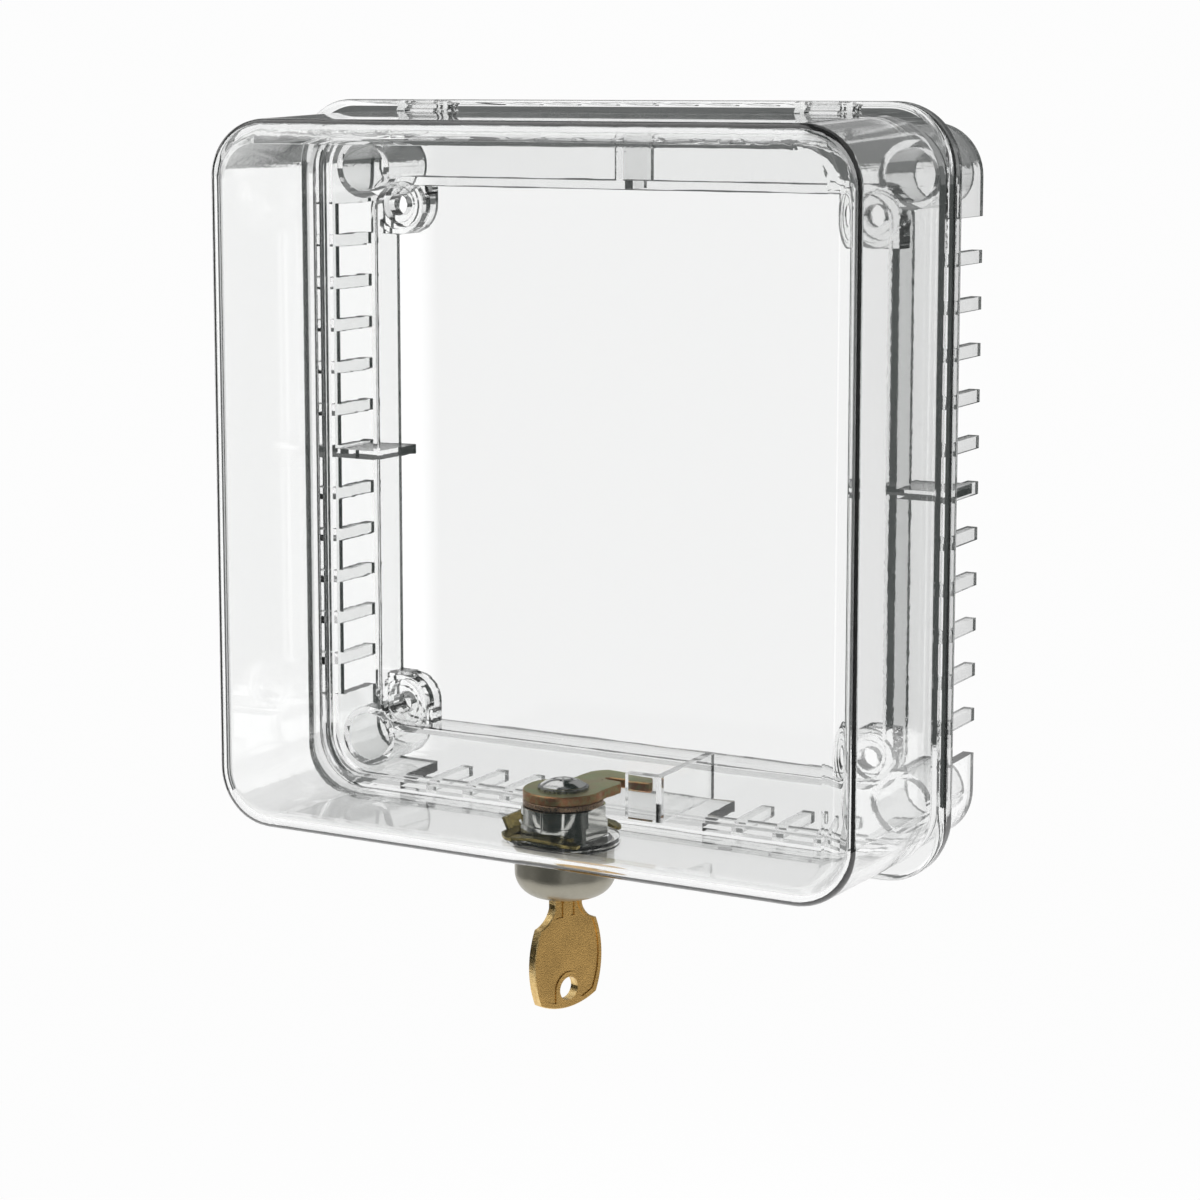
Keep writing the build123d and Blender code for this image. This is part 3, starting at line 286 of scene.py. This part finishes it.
def clear_plastic(name, clear_tint, edge_tint_and_painted_shading, edge_start, wave_scale, bump):
    """Polished clear plastic. It turns grey-green where it is seen edge on and looked through along its length: partly
    the plastic's own tint through its thickness, partly painted shade for the dark edges that its refraction shows.
    """
    material, tree, shader = new_material(name)
    shader.inputs["Transmission Weight"].default_value = 0.99
    shader.inputs["IOR"].default_value = 1.58
    flow = place_group(tree, FLOW, Wave_Scale=wave_scale, Streak_Scale=900.0, Streak_Share=0.15)
    grazing = add_node(tree, "ShaderNodeLayerWeight")
    grazing.inputs["Blend"].default_value = 0.5
    # painted shade, with the plastic's own tint: the colour turns to the darker second tint where the surface is seen
    # edge on
    edge = map_range(tree, grazing.outputs["Facing"], edge_start, 1.0, 0.0, 1.0)
    link(tree, mix_colours(tree, edge, clear_tint, edge_tint_and_painted_shading), shader.inputs["Base Color"])
    link(tree, map_range(tree, flow.outputs["Haze"], 0.3, 0.7, 0.0, 0.03), shader.inputs["Roughness"])
    add_bump(tree, shader, flow.outputs["Height"], bump, 0.001)
    return material


def plated_metal(name, tints, cloud_scale, edge, roughness, stretch=EVEN, bump=0.25, flat_axis=UP):
    """Plated or passivated metal: cloudy tints, fine grain, and another tint off its flat faces, which is painted
    light: on most parts a lighter colour that stands in for a highlight on the sides.
    """
    material, tree, shader = new_material(name)
    shader.inputs["Metallic"].default_value = 1.0
    base, second, third = tints
    mottle = place_group(tree, MOTTLE, Base_Tint=base, Second_Tint=second, Third_Tint=third, Cloud_Scale=cloud_scale)
    # painted light: the side colour goes onto the faces that turn away from the flat faces, mostly as a painted
    # highlight
    painted_sides = place_group(tree, SIDE_SHADING_PAINT, Flat_Axis=flat_axis, Breakup_Scale=900.0)
    grain = place_group(
        tree, BRUSHED, Stretch=stretch, Grain_Scale=3500.0, Low_Roughness=roughness[0], High_Roughness=roughness[1]
    )
    link(tree, mix_colours(tree, painted_sides.outputs["Mask"], mottle.outputs["Color"], edge), shader.inputs["Base Color"])
    link(tree, grain.outputs["Roughness"], shader.inputs["Roughness"])
    add_bump(tree, shader, grain.outputs["Height"], bump, 0.0001)
    return material


def tints(red, green, blue, change=0.12):
    """A tint with one a little lighter and one a little darker, for a cloudy finish."""
    return tuple((red * k, green * k, blue * k, 1.0) for k in (1.0, 1.0 + change, 1.0 - change))


FINISHES = {
    # clear plastics: the second tint is partly their own tint through their thickness and partly painted shade where
    # they are seen edge on
    "cover_clear": clear_plastic("cover_clear_plastic", (0.994, 0.997, 0.995, 1.0), (0.8, 0.83, 0.815, 1.0), 0.94, 22.0, 0.02),
    "base_clear": clear_plastic("base_clear_plastic", (0.99, 0.994, 0.992, 1.0), (0.7, 0.74, 0.72, 1.0), 0.85, 60.0, 0.05),
    # metals: the fourth value is the side colour, painted light; lighter than the tint on most parts, as a painted
    # highlight
    "lock_zinc": plated_metal("lock_body_nickel", tints(0.6, 0.6, 0.57), 120.0, (0.6, 0.6, 0.57, 1), (0.03, 0.08), bump=0.05),
    "head_nickel": plated_metal("head_satin_nickel", tints(0.36, 0.34, 0.28), 150.0, (0.37, 0.35, 0.29, 1), (0.28, 0.42)),
    "plug_zinc": plated_metal("plug_zinc", tints(0.5, 0.48, 0.44), 300.0, (0.5, 0.48, 0.45, 1), (0.25, 0.4), ALONG_Z),
    "clip_zinc": plated_metal("clip_yellow_zinc", ((0.26, 0.22, 0.07, 1), (0.17, 0.15, 0.05, 1), (0.4, 0.33, 0.11, 1)),
                              350.0, (0.5, 0.4, 0.16, 1), (0.14, 0.28)),
    "stop_steel": plated_metal("stop_washer_yellow_zinc", tints(0.3, 0.22, 0.14), 350.0, (0.36, 0.24, 0.16, 1), (0.2, 0.4)),
    "cam_zinc": plated_metal("cam_yellow_zinc", ((0.47, 0.47, 0.22, 1), (0.48, 0.42, 0.22, 1), (0.4, 0.48, 0.22, 1)),
                             180.0, (0.52, 0.25, 0.12, 1), (0.26, 0.42)),
    "washer_steel": plated_metal("tooth_washer_steel", tints(0.36, 0.36, 0.36), 400.0, (0.5, 0.5, 0.5, 1), (0.2, 0.4)),
    "screw_nickel": plated_metal("screw_bright_nickel", tints(0.8, 0.8, 0.79, 0.05), 300.0, (0.8, 0.8, 0.8, 1), (0.04, 0.12), bump=0.1),
    "wafer_brass": plated_metal("wafer_brass", tints(0.6, 0.44, 0.2), 400.0, (0.7, 0.55, 0.3, 1), (0.25, 0.4)),
    "spring_steel": plated_metal("spring_wire_steel", tints(0.5, 0.5, 0.5), 400.0, (0.5, 0.5, 0.5, 1), (0.15, 0.3), bump=0.1),
    # the key's lighter side colour is a painted highlight on its edges
    "key_brass": plated_metal("key_satin_brass", tints(0.56, 0.345, 0.115), 160.0, (0.85, 0.62, 0.28, 1),
                              (0.2, 0.36), ALONG_X, 0.35, KEY_AXIS),
}


def dress_parts():
    """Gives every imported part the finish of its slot."""
    for entry in frame["record"]["subparts"]:
        part = frame["nodes"][entry["node"]]
        for slot in part.material_slots:
            slot.material = FINISHES[entry["material_slot"]]


# ================================================================ studio
def band(tree, value, low, high, soft):
    """Mask that is 1 while the value lies between low and high."""
    rise = map_range(tree, value, low - soft / 2, low + soft / 2, 0.0, 1.0)
    fall = map_range(tree, value, high - soft / 2, high + soft / 2, 1.0, 0.0)
    return calculate(tree, "MULTIPLY", rise, fall)


def room_zone(tree, azimuth, height, sides, heights, brightness):
    """One bright zone of the room, with soft edges."""
    across = band(tree, azimuth, math.radians(sides[0]), math.radians(sides[1]), math.radians(ZONE_EDGE))
    upright = band(tree, height, heights[0], heights[1], ZONE_TOP_EDGE)
    return calculate(tree, "MULTIPLY", calculate(tree, "MULTIPLY", across, upright), brightness)


def clear_room(tree, azimuth, height, rays):
    """Light that shows only straight through clear plastic, so that it looks clear from every side."""
    turned = calculate(tree, "ABSOLUTE", azimuth, 0.0)
    side = math.radians(CLEAR_SIDE)
    masks = (
        map_range(tree, turned, side, side + CLEAR_EDGE, 0.0, CLEAR_LIGHT),
        map_range(tree, height, CLEAR_LOW - CLEAR_EDGE, CLEAR_LOW, CLEAR_LIGHT, 0.0),
        map_range(tree, height, CLEAR_HIGH, CLEAR_HIGH + CLEAR_EDGE, 0.0, CLEAR_LIGHT),
    )
    clear = calculate(tree, "MAXIMUM", calculate(tree, "MAXIMUM", masks[0], masks[1]), masks[2])
    unmirrored = calculate(tree, "LESS_THAN", rays.outputs["Glossy Depth"], 0.5)
    straight = calculate(tree, "MULTIPLY", unmirrored, rays.outputs["Is Transmission Ray"])
    return calculate(tree, "MULTIPLY", clear, straight)


def lit_room():
    """World: plain white to the eye; metal and clear plastic see a dark room with bright sheets in it."""
    world = bpy.data.worlds.new("pale_room")
    bpy.context.scene.world = world
    world.use_nodes = True
    tree = world.node_tree
    tree.nodes.clear()
    direction = add_node(tree, "ShaderNodeTexCoord")
    split = add_node(tree, "ShaderNodeSeparateXYZ")
    link(tree, direction.outputs["Generated"], split.inputs[0])
    azimuth = calculate(tree, "ARCTAN2", split.outputs["X"], split.outputs["Y"])
    streaks = add_node(tree, "ShaderNodeTexNoise", noise_dimensions="1D")
    streaks.inputs["Scale"].default_value = STREAKS
    link(tree, split.outputs["Z"], streaks.inputs["W"])
    strip = room_zone(tree, azimuth, split.outputs["Z"], *HORIZON_STRIP)
    total = calculate(tree, "MULTIPLY", strip, map_range(tree, streaks.outputs["Fac"], 0.3, 0.7, 0.4, 1.7))
    for _, sides, heights, brightness in ROOM_ZONES:
        zone = room_zone(tree, azimuth, split.outputs["Z"], sides, heights, brightness)
        total = calculate(tree, "MAXIMUM", total, zone)
    rays = add_node(tree, "ShaderNodeLightPath")
    total = calculate(tree, "MAXIMUM", total, clear_room(tree, azimuth, split.outputs["Z"], rays))
    room_colour = mix_colours(tree, total, DARK_ROOM, WHITE)
    room_colour.node.clamp_factor = False
    shiny = calculate(tree, "MAXIMUM", rays.outputs["Is Glossy Ray"], rays.outputs["Is Transmission Ray"])
    plain = (ROOM_LIGHT, ROOM_LIGHT, ROOM_LIGHT, 1.0)
    not_seen = mix_colours(tree, shiny, plain, room_colour)
    everything = mix_colours(tree, rays.outputs["Is Camera Ray"], not_seen, BACKDROP)
    background = add_node(tree, "ShaderNodeBackground")
    background.inputs["Strength"].default_value = 1.0
    link(tree, everything, background.inputs["Color"])
    output = add_node(tree, "ShaderNodeOutputWorld")
    link(tree, background.outputs[0], output.inputs["Surface"])


def pale_floor():
    """A pale sheet under the hanging box. It keeps the shadow and looks white elsewhere."""
    middle = ((FLOOR_X[0] + FLOOR_X[1]) / 2, (FLOOR_Y[0] + FLOOR_Y[1]) / 2, FLOOR_Z)
    bpy.ops.mesh.primitive_plane_add(size=1.0, location=middle)
    floor = bpy.context.object
    floor.scale = (FLOOR_X[1] - FLOOR_X[0], FLOOR_Y[1] - FLOOR_Y[0], 1.0)
    floor.name = "floor"
    material = bpy.data.materials.new("pale_floor")
    material.use_nodes = True
    tree = material.node_tree
    shader = tree.nodes["Principled BSDF"]
    place = add_node(tree, "ShaderNodeTexCoord")
    paper = add_node(tree, "ShaderNodeTexNoise")
    paper.inputs["Scale"].default_value = 4.0
    link(tree, place.outputs["Object"], paper.inputs["Vector"])
    tint = mix_colours(tree, map_range(tree, paper.outputs["Fac"], 0.3, 0.7, 0.0, 0.03), FLOOR_COLOUR, WHITE)
    geometry = add_node(tree, "ShaderNodeNewGeometry")
    away = add_node(tree, "ShaderNodeVectorMath", operation="DISTANCE")
    link(tree, geometry.outputs["Position"], away.inputs[0])
    away.inputs[1].default_value = (0.0, 0.0, FLOOR_Z)
    fade = map_range(tree, away.outputs["Value"], FLOOR_FADE[0], FLOOR_FADE[1], 0.0, 1.0)
    link(tree, mix_colours(tree, fade, tint, BLACK), shader.inputs["Base Color"])
    link(tree, mix_colours(tree, fade, FLOOR_SHARE, BACKDROP), shader.inputs["Emission Color"])
    shader.inputs["Emission Strength"].default_value = 1.0
    shader.inputs["Roughness"].default_value = 0.9
    shader.inputs["Specular IOR Level"].default_value = 0.0
    floor.data.materials.append(material)


def soft_lamps():
    for name, place, size, power in LAMPS:
        light = bpy.data.lights.new(name, "AREA")
        light.shape = "DISK"
        light.size = size
        light.energy = power
        lamp = bpy.data.objects.new(name, light)
        lamp.location = place
        lamp.rotation_euler = (Vector(LAMP_AIM) - Vector(place)).to_track_quat("-Z", "Y").to_euler()
        lamp.visible_glossy = False
        lamp.visible_transmission = False
        bpy.context.scene.collection.objects.link(lamp)


def photo_camera():
    data = bpy.data.cameras.new("photo_camera")
    data.lens = CAMERA_LENS
    data.sensor_width = CAMERA_SENSOR
    data.shift_y = CAMERA_SHIFT_Y
    data.clip_start = 0.01
    camera = bpy.data.objects.new("photo_camera", data)
    camera.location = CAMERA_PLACE
    camera.rotation_euler = (math.radians(90 - CAMERA_PITCH), 0, math.radians(CAMERA_AZIMUTH))
    bpy.context.scene.collection.objects.link(camera)
    bpy.context.scene.camera = camera


dress_parts()
lit_room()
pale_floor()
soft_lamps()
photo_camera()
bpy.context.scene.view_settings.view_transform = "Standard"
